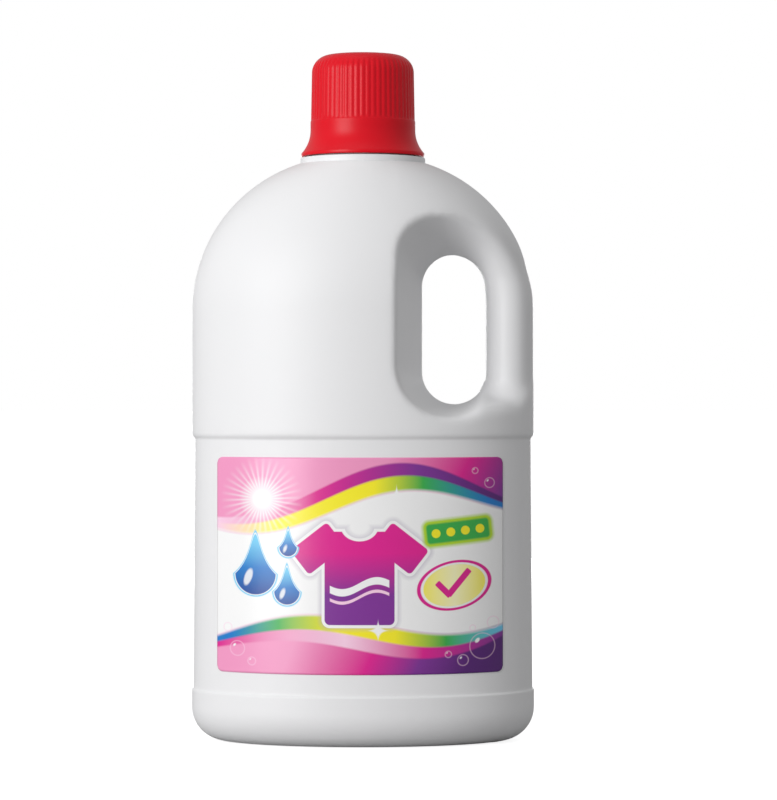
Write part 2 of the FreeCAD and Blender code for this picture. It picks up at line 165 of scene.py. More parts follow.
WAD_R, WAD_ROUND = 19.05, 0.2

# Columns round each turned piece, and round one rib.
NECK_COLUMNS, RIB_COLUMNS, WAD_COLUMNS = 180, 8, 120

# The film's mesh, how far its front stands off the panel beyond its own thickness,
# and how far its back lies in the wall.
FILM_COLUMNS, FILM_ROWS, FILM_PROUD, FILM_SUNK = 240, 120, 0.04, 0.1

# The studio, in metres and watts: half the floor's side, its grey and how it is seen,
# the light all round, and for each lamp its place, size, power and aim.
FLOOR_HALF, FLOOR_GREY, FLOOR_SEEN = 40.0, (0.42, 0.42, 0.42, 1), (0.86, 0.86, 0.86, 1)
ROUND_LIGHT = 0.46
LAMPS = (
    ("key", (-1.0, -1.1, 0.38), (0.8, 1.0), 18.0, (0, 0, 0.15)),
    ("top", (-0.2, -0.2, 1.3), (0.8, 0.8), 1.0, (0, 0, 0.15)),
    ("back", (0.0, 1.6, 0.17), (1.0, 0.3), 5.0, (0, 0, 0.12)))

# The camera: its place in metres, its sensor in millimetres, and the picture's
# focal length and longer side in pixels.
CAMERA_AT, SENSOR, FOCAL_PIXELS, LONG_PIXELS = (0.0107, -1.399, 0.1417), 36.0, 3346, 800

# Small values that keep divisions and roots off zero.
TINY, NO_GAP = 1e-9, 1e-4


def mix(a, b, t):
    """a, and the share t of the way from a to b."""
    return a + (b - a) * t


def ease(t):
    """Goes from 0 to 1 with no slope at either end: three t squared less two t cubed."""
    t = np.clip(t, 0, 1)
    return t * t * (3 - 2 * t)


def ease_over(v, span):
    """Eases from 0 to 1 while v goes from a start over a length."""
    start, length = span
    return ease((v - start) / length)


def soft_min(a, b, k):
    """The smaller of two distances, rounded where they differ by less than k."""
    h = np.maximum(k - np.abs(a - b), 0) / k
    return np.minimum(a, b) - h * h * k / 4


def soft_max(a, b, k):
    """The larger of two distances, rounded where they differ by less than k."""
    return -soft_min(-a, -b, k)


def collar_radius(w):
    """The radius at which the shoulder's arc ends, for a bottle of half width w."""
    return w - ARC_R + math.sqrt(ARC_R**2 - (ARC_HIGH - ARC_LOW)**2)


def half_sizes(z, w, d):
    """Half width and half depth of the oval at height z, with their slopes. The
    foot band steps in to the panel, the panel steps out to the shoulder band,
    and the shoulder closes on one arc from the front and a flatter one from
    the side, both ending on the collar's circle."""
    rise = ARC_HIGH - ARC_LOW
    collar = collar_radius(w)
    side = (rise**2 + (d - collar)**2) / (2 * (d - collar))
    up = np.clip(z - ARC_LOW, 0, rise + PAST_ARC)
    out = []
    for half, radius in ((w, ARC_R), (d, side)):
        fall = radius - np.sqrt(radius**2 - up**2)
        panel = mix(-STEP_LOW, -STEP_IN, np.clip((z - PANEL_LOW) / (PANEL_HIGH - PANEL_LOW), 0, 1))
        step = mix(mix(FOOT_OUT, panel, ease_over(z, LOW_RAMP)), 0.0, ease_over(z, HIGH_RAMP))
        slope = -up / np.sqrt(radius**2 - up**2)
        out.append((half + step - fall, slope))
    return out


def oval_distance(x, y, z, w, d):
    """About the distance to the whole form. At each height it is the distance to
    the oval, from how fast the oval's equation changes there, shortened by the
    wall's slope. The foot's edge is the rounded corner of wall and floor."""
    (a, da), (b, db) = half_sizes(z, w, d)
    g = np.sqrt((x / a)**2 + (y / b)**2 + TINY)
    steep = np.sqrt((x / a**2)**2 + (y / b**2)**2 + TINY / a**2)
    flat = (g - 1) * g / steep
    rho = np.sqrt(x * x + y * y + TINY)
    c2, s2 = (x * x + TINY) / rho**2, (y / rho)**2
    r = 1 / np.sqrt(c2 / a**2 + s2 / b**2)
    lean = r**3 * (c2 * da / a**3 + s2 * db / b**3)
    gap = rho - r
    apart = np.abs(gap) > NO_GAP
    share = np.clip(np.where(apart, flat / np.where(apart, gap, 1), 1), 0.3, 1)
    flat = flat / np.sqrt(1 + (lean * share)**2)
    u, v = flat + FOOT_R, FOOT_R - z
    return np.where((u > 0) & (v > 0), np.hypot(u, v) - FOOT_R, np.maximum(flat, -z))


def thread_ridge(z, a, start, turns):
    """1 on the crest of a right-hand thread and 0 beside it, from height and
    angle. The crest rises by one lead a turn and runs out at both ends."""
    ridge = np.zeros_like(z)
    for k in range(-1, 3):
        turn = a / (2 * math.pi) + k
        ends = ease(turn / THREAD_FADE) * ease((turns - turn) / THREAD_FADE)
        off = np.abs(z - start - LEAD * turn)
        ridge = np.maximum(ridge, ends * ease((THREAD_HALF - off) / THREAD_FLANK))
    return ridge


def recess_distance(x, y, z):
    """About the distance to the finger recess, negative inside it. Its outline
    in the XZ plane widens with depth from the middle plane: an upright slot,
    whose lower and upper ends are arcs, open to the handle's side between a
    sloping line and a level one."""
    t = np.sqrt(y * y + VALLEY) / RECESS_DEEP
    cx, low, r1 = mix(*RECESS_X, t), mix(*RECESS_LOW, t), mix(*RECESS_LOW_R, t)
    top, r2 = mix(*RECESS_TOP, t), mix(*RECESS_TOP_R, t)
    left = cx - r1
    zc = np.clip(z, low, top)
    rr = mix(r1, r2, (zc - low) / (top - low))
    over, level = x - (left + rr), ease((z - top + LEVEL_OVER) / LEVEL_OVER)
    slot = np.hypot(mix(over, np.minimum(over, 0), level), z - zc) - rr
    corner_x, corner_z = mix(*CORNER_X, t), mix(*CORNER_Z, t)
    tilt = (FAR_Z - corner_z) / (FAR_X - corner_x)
    under = (corner_z + (x - corner_x) * tilt - z) / np.sqrt(1 + tilt**2)
    side = np.maximum(np.maximum(cx - x, under), z - (top + r2))
    return soft_min(slot, side, SLOT_SOFT)


def opening_distance(x, z):
    """The distance to the upright slot that goes right through: from the nearest
    point of its middle line, less its radius."""
    return np.hypot(x - RECESS_X[0], z - np.clip(z, RECESS_LOW[0], RECESS_TOP[0])) - OPENING_R


def grip_distance(x, y, z, w):
    """About the distance to the handle tube: an oval carried up a straight line
    and on round the shoulder's arc, a tube's half width inside the outline. It
    grows deeper where it runs into the shoulder."""
    middle = w - GRIP_HALF - GRIP_IN
    bend = ARC_R - GRIP_HALF - GRIP_IN
    n = np.where(z < ARC_LOW, x - middle, np.hypot(x - (middle - bend), z - ARC_LOW) - bend)
    deep = mix(GRIP_DEEP, GRIP_ROOT, ease_over(z, GRIP_GROW))
    g = np.sqrt((n / GRIP_HALF)**2 + (y / deep)**2 + TINY)
    steep = np.sqrt((n / GRIP_HALF**2)**2 + (y / deep**2)**2 + TINY / GRIP_HALF**2)
    tube = (g - 1) * g / steep
    return np.maximum(tube, GRIP_START - x)


def skin_distance(x, y, z, w, d, rim, root):
    """The form less the recess, joined softly to the handle tube and kept inside
    the whole form, so that the outline stays as it was. A shallow dome is taken
    out of the foot."""
    whole = oval_distance(x, y, z, w, d)
    melt = ease_over(x, MELT_X) * mix(MELT_LEAST, 1.0, ease_over(z, MELT_Z))
    body = soft_max(whole, -recess_distance(x, y, z), mix(rim, MELT_ROUND, melt))
    tight = (1 - ease_over(x, TIGHT_X)) * (1 - ease_over(z, TIGHT_Z))
    held = soft_min(body, grip_distance(x, y, z, w), mix(root, TIGHT_ROUND, tight))
    held = soft_max(held, -opening_distance(x, z), OPENING_SOFT)
    blend = ease_over(x, BLEND_X) * ease_over(z, BLEND_Z) * (1 - ease_over(z, BLEND_END))
    skin = soft_max(whole, held, mix(*BLEND_ROUND, blend))
    ring_w, ring_d = w + FOOT_OUT - FOOT_R - DOME_INSET, d + FOOT_OUT - FOOT_R - DOME_INSET
    g = np.sqrt((x / ring_w)**2 + (y / ring_d)**2)
    dome = DOME_TALL * ease((DOME_EDGE - g) / DOME_RISE) - DOME_SOFT
    return soft_max(skin, dome - z, DOME_SOFT)


def surface_net(field, axes):
    """A closed quad mesh where a field on a box grid is zero. Each cell that the
    surface crosses gets a point, the mean of the crossings on its edges, and
    each grid edge that it crosses gets the quad of the four cells around it."""
    inside = field < 0
    shape = np.array(field.shape) - 1
    total = np.zeros(tuple(shape) + (3,))
    count = np.zeros(tuple(shape))
    crossings = []
    for k in range(3):
        lo = [slice(None)] * 3
        hi = [slice(None)] * 3
        lo[k], hi[k] = slice(0, -1), slice(1, None)
        lo, hi = tuple(lo), tuple(hi)
        cross = inside[lo] != inside[hi]
        at = np.argwhere(cross)
        f0, f1 = field[lo][cross], field[hi][cross]
        point = at.astype(float)
        point[:, k] += f0 / (f0 - f1)
        crossings.append((at, inside[lo][cross]))
        i, j = [m for m in range(3) if m != k]
        for di in (0, -1):
            for dj in (0, -1):
                cell = at.copy()
                cell[:, i] += di
                cell[:, j] += dj
                ok = np.all((cell >= 0) & (cell < shape), axis=1)
                c = cell[ok]
                np.add.at(total, tuple(c.T), point[ok])
                np.add.at(count, tuple(c.T), 1)
    used = count > 0
    index = np.full(tuple(shape), -1)
    index[used] = np.arange(used.sum())
    grid = total[used] / count[used][:, None]
    points = np.stack([np.interp(grid[:, k], np.arange(len(axes[k])), axes[k]) for k in range(3)], 1)
    quads = []
    for k, (at, first_in) in enumerate(crossings):
        i, j = (k + 1) % 3, (k + 2) % 3
        ok = (at[:, i] > 0) & (at[:, j] > 0) & (at[:, i] < shape[i]) & (at[:, j] < shape[j])
        at, first_in = at[ok], first_in[ok]
        ring = []
        for di, dj in ((0, 0), (-1, 0), (-1, -1), (0, -1)):
            cell = at.copy()
            cell[:, i] += di
            cell[:, j] += dj
            ring.append(index[tuple(cell.T)])
        ring = np.stack(ring, 1)
        ring[~first_in] = ring[~first_in][:, ::-1]
        quads.append(ring)
    return points, np.concatenate(quads)


def settle(points, distance):
    """Moves points onto the surface, three times down the field's own slope: by
    the distance over the slope squared, and never by more than a stride."""
    nudge, least_slope, stride = 0.02, 0.05, 1.5
    for _ in range(3):
        x, y, z = points.T
        f = distance(x, y, z)
        grad = np.stack([
            distance(x + nudge, y, z) - distance(x - nudge, y, z),
            distance(x, y + nudge, z) - distance(x, y - nudge, z),
            distance(x, y, z + nudge) - distance(x, y, z - nudge)], 1) / (2 * nudge)
        size = np.maximum((grad**2).sum(1), least_slope)
        step = (f / size)[:, None] * grad
        length = np.linalg.norm(step, axis=1, keepdims=True)
        points = points - step * np.minimum(1, stride / np.maximum(length, TINY))
    return points


def spaced(stops):
    """Grid lines through (start, step) stops, with the last stop as the end."""
    lines = []
    for (a, step), (b, _) in zip(stops, stops[1:]):
        n = max(1, int(round((b - a) / step)))
        lines.append(a + (b - a) * np.arange(n) / n)
    return np.concatenate(lines + [[stops[-1][0]]])


def mesh_piece(name, points, quads):
    """A finished piece from points in millimetres and quads."""
    me = bpy.data.meshes.new(name)
    me.from_pydata((points / 1000).tolist(), [], quads.tolist())
    me.update()
    me.polygons.foreach_set("use_smooth", [True] * len(me.polygons))
    ob = bpy.data.objects.new(name, me)
    bpy.context.scene.collection.objects.link(ob)
    return ob


def closed_piece(name, points, quads):
    """A finished piece of a closed profile carried round, with its points on the
    axis joined into one."""
    ob = mesh_piece(name, points, quads)
    bm = bmesh.new()
    bm.from_mesh(ob.data)
    bmesh.ops.remove_doubles(bm, verts=bm.verts, dist=1e-7)
    bmesh.ops.recalc_face_normals(bm, faces=bm.faces)
    bm.to_mesh(ob.data)
    bm.free()
    return ob


def turned(profile, columns, relief=None):
    """A profile of (radius, height) carried round Z, each radius changed by the
    relief at its height and angle. Returns points and quads."""
    a = np.arange(columns) * 2 * math.pi / columns
    r = profile[:, 0][:, None] * np.ones(columns)
    z = profile[:, 1][:, None] * np.ones(columns)
    if relief is not None:
        r = relief(r, z, a[None, :])
    points = np.stack([r * np.cos(a), r * np.sin(a), z], 2).reshape(-1, 3)
    i, j = np.meshgrid(np.arange(len(profile) - 1), np.arange(columns), indexing="ij")
    k = (j + 1) % columns
    quads = np.stack([i * columns + j, i * columns + k, (i + 1) * columns + k, (i + 1) * columns + j], 2)
    return points, quads.reshape(-1, 4)


def rounded(corners, step):
    """A line through (radius, height, rounding) corners, each rounded by an arc
    tangent to both sides, with points about a step apart."""
    nearly_straight, most_of_side = 1.55, 0.49
    p = np.array([(c[0], c[1]) for c in corners], float)
    out = [p[0]]
    for i in range(1, len(p) - 1):
        size = corners[i][2]
        u, v = p[i - 1] - p[i], p[i + 1] - p[i]
        lu, lv = np.linalg.norm(u), np.linalg.norm(v)
        u, v = u / lu, v / lv
        half = math.acos(np.clip(u @ v, -1, 1)) / 2
        if size <= 0 or half > nearly_straight:
            out.append(p[i])
            continue
        cut = min(size / math.tan(half), most_of_side * lu, most_of_side * lv)
        radius = cut * math.tan(half)
        middle = p[i] + (u + v) / np.linalg.norm(u + v) * (radius / math.sin(half))
        start, end = p[i] + u * cut, p[i] + v * cut
        a0 = math.atan2(*(start - middle)[::-1])
        sweep = math.atan2(*(end - middle)[::-1]) - a0
        sweep = (sweep + math.pi) % (2 * math.pi) - math.pi
        n = max(2, int(abs(sweep) * radius / step) + 1)
        a = a0 + sweep * np.linspace(0, 1, n + 1)
        out.extend(middle + radius * np.stack([np.cos(a), np.sin(a)], 1))
    out.append(p[-1])
    return np.array(out)


def refined(profile, radius, low, high, coarse):
    """A line with points put in: the thread's step apart where it runs near a
    radius and between two heights, and a coarse step apart elsewhere."""
    near = 0.55
    out = []
    for a, b in zip(profile, profile[1:]):
        threaded = abs(a[0] - radius) < near and low < b[1] < high
        n = max(1, int(np.hypot(*(b - a)) / (THREAD_CELL if threaded else coarse)))
        out.extend(a + (b - a) * k / n for k in range(n))
    return np.array(out + [profile[-1]])


def join(parts):
    """Several (points, quads) as one, without the points that no quad uses."""
    starts = np.cumsum([0] + [len(points) for points, _ in parts])
    points = np.concatenate([points for points, _ in parts])
    quads = np.concatenate([quads + start for (_, quads), start in zip(parts, starts)])
    used, quads = np.unique(quads, return_inverse=True)
    return points[used], quads.reshape(-1, 4)


def piece(name, body, nodes):
    """Gives a finished piece its body and the solids it stands for."""
    ob = bpy.data.objects[name]
    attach(ob, body)
    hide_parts(*nodes)


class Value:
    """A node's output that can be added, multiplied and so on, each step a math
    node, so that a drawing can be written as a formula."""

    def __init__(self, nodes, socket):
        self.nodes, self.socket = nodes, socket

    def step(self, op, *others):
        raw = [o.socket if isinstance(o, Value) else o for o in (self, *others)]
        return Value(self.nodes, self.nodes.math(op, *raw))

    def __add__(self, other):
        return self.step("ADD", other)

    def __sub__(self, other):
        return self.step("SUBTRACT", other)

    def __mul__(self, other):
        return self.step("MULTIPLY", other)

    def __truediv__(self, other):
        return self.step("DIVIDE", other)

    def __abs__(self):
        return self.step("ABSOLUTE")

    def low(self, other):
        return self.step("MINIMUM", other)

    def high(self, other):
        return self.step("MAXIMUM", other)

    def share(self):
        """The value kept between 0 and 1."""
        return self.high(0.0).low(1.0)

    def sine(self):
        return self.step("SINE")

    def size(self, other):
        return (self * self + other * other).step("SQRT")


class Nodes:
    """Adds nodes to a tree and links them, with plain numbers set on sockets."""

    def __init__(self, tree):
        self.tree = tree

    def add(self, kind, inputs=(), **props):
        node = self.tree.nodes.new(kind)
        for k, v in props.items():
            setattr(node, k, v)
        for key, v in dict(inputs).items():
            self.put(node.inputs[key], v)
        return node

    def put(self, socket, v):
        if isinstance(v, bpy.types.NodeSocket):
            self.tree.links.new(v, socket)
        elif isinstance(v, bpy.types.Node):
            self.tree.links.new(v.outputs[0], socket)
        else:
            socket.default_value = v

    def math(self, op, *values):
        node = self.add("ShaderNodeMath", operation=op)
        for i, v in enumerate(values):
            self.put(node.inputs[i], v)
        return node.outputs[0]

    def blend(self, share, a, b):
        """A colour that goes from a to b with the share. The mix node's colour
        sockets come after those for numbers and vectors."""
        node = self.add("ShaderNodeMix", data_type="RGBA")
        for i, v in ((0, share), (6, a), (7, b)):
            self.put(node.inputs[i], v)
        return node.outputs[2]

    def ramp(self, value, stops):
        node = self.add("ShaderNodeValToRGB", {"Fac": value})
        node.color_ramp.interpolation = "LINEAR"
        while len(node.color_ramp.elements) < len(stops):
            node.color_ramp.elements.new(0.5)
        for e, (at, rgb) in zip(node.color_ramp.elements, stops):
            e.position = at
            e.color = (*rgb, 1)
        return node.outputs[0]


def principled(name, **values):
    """A material with one Principled shader. Returns it, its Nodes and the shader."""
    m = bpy.data.materials.new(name)
    m.use_nodes = True
    n = Nodes(m.node_tree)
    shader = m.node_tree.nodes["Principled BSDF"]
    for k, v in values.items():
        n.put(shader.inputs[k.replace("_", " ")], v)
    return m, n, shader


class Artwork:
    """A flat drawing on a node tree, in millimetres from the label's middle. Each
    shape is a distance, negative inside, and is laid over what is there."""

    PINK, ROSE, MAGENTA = (0.85, 0.31, 0.53), (0.93, 0.62, 0.78), (0.72, 0.01, 0.27)
    PURPLE, DEEP, WHITE = (0.21, 0.03, 0.30), (0.09, 0.012, 0.17), (0.9, 0.9, 0.9)
    YELLOW, LIME, GREEN = (0.93, 0.83, 0.02), (0.45, 0.68, 0.03), (0.04, 0.42, 0.07)
    BLUE, SKY, NAVY = (0.01, 0.19, 0.56), (0.16, 0.58, 0.85), (0.012, 0.06, 0.30)
    CREAM, SHADE = (0.95, 0.92, 0.55), (0.35, 0.30, 0.42)

    # Places and sizes of what is repeated: centre across, centre up and radius.
    DROPS = ((-42.5, -3.5, 8.4), (-29.5, -10.5, 5.2), (-29.0, 7.5, 3.6))
    RINGS = ((50.0, -33.0, 5.2), (42.0, -38.5, 2.2), (54.5, -23.5, 2.4), (36.0, -36.0, 1.3),
             (46.0, -25.5, 1.2), (-50.0, -34.0, 3.0), (-44.0, -39.0, 1.6), (-54.0, -25.5, 1.7),
             (53.0, 33.5, 2.0), (47.0, 38.5, 1.2))
    GLINTS = ((15.0, 27.5, 5.5), (7.5, -26.0, 4.5), (49.5, 5.0, 4.0))

    def __init__(self, nodes, x, y):
        self.n, self.x, self.y = nodes, x, y
        self.colour = (*self.PINK, 1)
        self.raised = y * 0.0

    def cover(self, distance, soft=0.25):
        """1 inside a shape and 0 outside it, with an edge this many mm wide."""
        return (distance * (-1 / soft) + 0.5).share()

    def lay(self, mask, colour):
        """Lays a colour over the drawing where the mask is 1."""
        if isinstance(colour, tuple):
            colour = (*colour, 1)
        self.colour = self.n.blend(mask.socket, self.colour, colour)

    def ramp(self, value, *stops):
        return self.n.ramp(value.socket, stops)

    def disc(self, cx, cy, rx, ry=None, turn=0.0):
        """About the distance to an oval, turned by an angle in degrees."""
        ry = ry or rx
        c, s = math.cos(math.radians(turn)), math.sin(math.radians(turn))
        u, v = self.x - cx, self.y - cy
        return ((u * c + v * s) / rx).size((v * c - u * s) / ry) * min(rx, ry) - min(rx, ry)

    def slab(self, cx, cy, half_x, half_y, r, turn=0.0):
        """About the distance to a turned box with round corners."""
        c, s = math.cos(math.radians(turn)), math.sin(math.radians(turn))
        u, v = self.x - cx, self.y - cy
        dx, dy = abs(u * c + v * s) - (half_x - r), abs(v * c - u * s) - (half_y - r)
        return dx.high(0.0).size(dy.high(0.0)) + dx.high(dy).low(0.0) - r

    def ground(self):
        """Pink at the left, through magenta to purple at the right."""
        across = (self.x * 0.9 - self.y * 0.45 + 58.0) / 116.0
        self.colour = self.ramp(
            across, (0.0, self.PINK), (0.42, self.PINK), (0.68, self.MAGENTA),
            (0.84, self.PURPLE), (1.0, self.DEEP))

    def waves(self):
        """A white field between two waves, each a sine on a sloping line, with a
        broad and a narrow ribbon of colour along each, which swell at the middle."""
        upper = (self.x * 0.052 + 0.6).sine() * 7.0 + self.x * 0.06 + 22.5
        lower = (self.x * 0.047 - 0.4).sine() * -6.5 + self.x * 0.08 - 24.5
        along = (self.x + 58.5) / 117.0
        swell = (along * math.pi).sine()
        above, below = self.y - upper, lower - self.y
        broad, narrow = 12.0, 6.5
        ribbons = (
            (above, broad, ((0.0, self.ROSE), (0.35, self.MAGENTA), (0.7, self.PURPLE), (1.0, self.DEEP))),
            (below, broad, ((0.0, self.MAGENTA), (0.45, self.ROSE), (0.72, self.MAGENTA),
                            (1.0, self.PURPLE))),
            (above, narrow, ((0.0, self.ROSE), (0.22, self.YELLOW), (0.55, self.YELLOW),
                             (0.72, self.GREEN), (0.95, self.BLUE))),
            (below, narrow, ((0.05, self.BLUE), (0.22, self.GREEN), (0.42, self.YELLOW),
                             (0.62, self.YELLOW), (0.8, self.GREEN), (1.0, self.SKY))))
        for side, wide, stops in ribbons:
            half = swell * (wide * 0.3) + wide * 0.2
            self.lay(self.cover(abs(side - half) - half, 0.9), self.ramp(along, *stops))
        self.lay(self.cover(above.high(below), 1.8), self.WHITE)

    def burst(self, cx, cy):
        """A soft white glow with fine rays: a sine of the angle, which fades away
        from the centre."""
        u, v = self.x - cx, self.y - cy
        far = u.size(v)
        rays = ((v.step("ARCTAN2", u) * 34.0).sine() * 0.5 + 0.5).step("POWER", 2.0)
        reach = (far * -1 / 15.0 + 1.15).high(0.0).low(0.8)
        self.lay(rays * reach * (far * 0.5 - 2.0).share(), self.WHITE)
        self.lay((far * -0.16 + 1.5).share(), self.WHITE)

    def sparkle(self, cx, cy, r):
        """A four-armed glint, where the roots of the two offsets add up to less
        than the root of r."""
        u, v = abs(self.x - cx), abs(self.y - cy)
        arms = (u.step("SQRT") + v.step("SQRT")) - math.sqrt(r)
        self.lay(self.cover(arms, 0.5), self.WHITE)

    def shirt(self, cx, cy, k):
        """A shirt, k times 28 mm high: body, two sleeves and a round neck, with a
        soft shade, a pale outline and a broad and a narrow wave across it."""
        shape = self.slab(cx, cy - 2.5 * k, 10.5 * k, 14.0 * k, 1.6 * k)
        for side in (-1, 1):
            sleeve = self.slab(cx + side * 12.5 * k, cy + 6.4 * k, 7.0 * k, 4.6 * k, 1.2 * k, side * -38.0)
            shape = shape.low(sleeve)
        shape = shape.high(self.disc(cx, cy + 13.0 * k, 5.6 * k, 4.4 * k) * -1.0)
        up = (self.y - (cy - 16.0 * k)) / (28.0 * k)
        self.lay(self.cover(shape - 2.2, 2.0) * 0.4, self.SHADE)
        self.lay(self.cover(shape - 1.2), self.WHITE)
        self.lay(self.cover(shape), self.ramp(
            up, (0.0, self.PURPLE), (0.3, self.PURPLE), (0.75, self.MAGENTA), (1.0, self.MAGENTA)))
        wave = self.y - (cy - 5.0 * k) - ((self.x - cx) * (0.3 / k)).sine() * (1.8 * k)
        self.lay(self.cover((abs(wave) - 1.1 * k).high(shape + 1.6 * k)), self.WHITE)
        self.lay(self.cover((abs(wave + 3.1 * k) - 0.45 * k).high(shape + 1.6 * k)), self.ROSE)
        self.raised = self.raised.high(self.cover(shape))

    def drop(self, cx, cy, r):
        """A drop with a pointed top, a pale outline and a highlight: a disc that
        narrows upwards, its upper half drawn out to twice its height."""
        u, v = self.x - cx, self.y - cy
        narrow = (v * (0.55 / r)).high(0.0) + 1.0
        shape = (u * narrow * narrow).size(v.low(v * 0.52)) - r
        self.lay(self.cover(shape - 0.9, 0.5), self.SKY)
        self.lay(self.cover(shape - 0.35), self.WHITE)
        self.lay(self.cover(shape), self.ramp(
            (v + r) / (r * 2.6), (0.0, self.NAVY), (0.5, self.BLUE), (1.0, self.SKY)))
        shine = self.disc(cx - r * 0.35, cy - r * 0.15, r * 0.18, r * 0.42, -20.0)
        self.lay(self.cover(shine, 0.5) * 0.8, self.WHITE)

    def drops(self):
        """Three drops, one large and two small."""
        for place in self.DROPS:
            self.drop(*place)

    def badges(self):
        """A green tab with four dots, and a yellow oval with a tick."""
        tab = self.slab(40.0, 14.0, 13.5, 4.6, 2.0, 6.0)
        self.lay(self.cover(tab - 1.0, 1.6), self.LIME)
        self.lay(self.cover(tab + 0.6, 0.8), self.GREEN)
        for k in range(4):
            self.lay(self.cover(self.disc(31.0 + 6.0 * k, 13.05 + 0.63 * k, 1.8)), self.YELLOW)
        oval = self.disc(38.5, -8.0, 15.5, 10.0, 12.0)
        self.lay(self.cover(oval), self.MAGENTA)
        self.lay(self.cover(oval + 1.0), self.WHITE)
        self.lay(self.cover(oval + 1.7), self.ramp(
            (self.x - 23.0) / 31.0, (0.0, self.YELLOW), (0.5, self.CREAM), (1.0, self.YELLOW)))
        tick = self.slab(34.1, -9.6, 3.9, 1.25, 0.5, -45.0).low(self.slab(40.3, -6.9, 6.8, 1.25, 0.5, 50.0))
        self.lay(self.cover(tick), self.MAGENTA)
        self.raised = self.raised.high(self.cover(oval))

    def bubbles(self):
        """Fine rings near the corners, each with a small shine, and three glints."""
        for cx, cy, r in self.RINGS:
            self.lay(self.cover(abs(self.disc(cx, cy, r)) - 0.12, 0.5) * 0.7, self.ROSE)
            shine = self.disc(cx - r * 0.4, cy + r * 0.45, r * 0.22, r * 0.14, 45.0)
            self.lay(self.cover(shine, 0.4), self.WHITE)
        for place in self.GLINTS:
            self.sparkle(*place)


def moulded_group():
    """Fine unevenness of moulded plastic: a slow waviness and a fine grain, as a
    height, and a slight change of roughness."""
    name = "Moulded surface"
    if name in bpy.data.node_groups:
        return bpy.data.node_groups[name]
    g = bpy.data.node_groups.new(name, "ShaderNodeTree")
    for label, default in (
            ("Wave size", 30.0), ("Grain size", 1800.0), ("Wave", 1.0), ("Grain", 0.1),
            ("Roughness", 0.4), ("Spread", 0.05)):
        socket = g.interface.new_socket(label, in_out="INPUT", socket_type="NodeSocketFloat")
        socket.default_value = default
    for label in ("Height", "Roughness"):
        g.interface.new_socket(label, in_out="OUTPUT", socket_type="NodeSocketFloat")
    n = Nodes(g)
    start, end = n.add("NodeGroupInput").outputs, n.add("NodeGroupOutput").inputs
    at = n.add("ShaderNodeTexCoord").outputs["Object"]
    wave = n.add("ShaderNodeTexNoise", {"Vector": at, "Scale": start["Wave size"], "Detail": 2.0})
    grain = n.add("ShaderNodeTexNoise", {"Vector": at, "Scale": start["Grain size"], "Detail": 2.0})
    fine = n.math("MULTIPLY", grain.outputs[0], start["Grain"])
    n.put(end["Height"], n.math("MULTIPLY_ADD", wave.outputs[0], start["Wave"], fine))
    spot = n.math("SUBTRACT", wave.outputs[0], 0.5)
    n.put(end["Roughness"], n.math("MULTIPLY_ADD", spot, start["Spread"], start["Roughness"]))
    return g


def moulded(n, shader, **values):
    """Feeds a shader's roughness and bump from the moulded surface group."""
    g = n.add("ShaderNodeGroup", node_tree=moulded_group())
    for k, v in values.items():
        n.put(g.inputs[k.replace("_", " ")], v)
    n.put(shader.inputs["Roughness"], g.outputs["Roughness"])
    bump = n.add("ShaderNodeBump", {"Height": g.outputs["Height"], "Strength": 0.25, "Distance": 0.0002})
    n.put(shader.inputs["Normal"], bump)


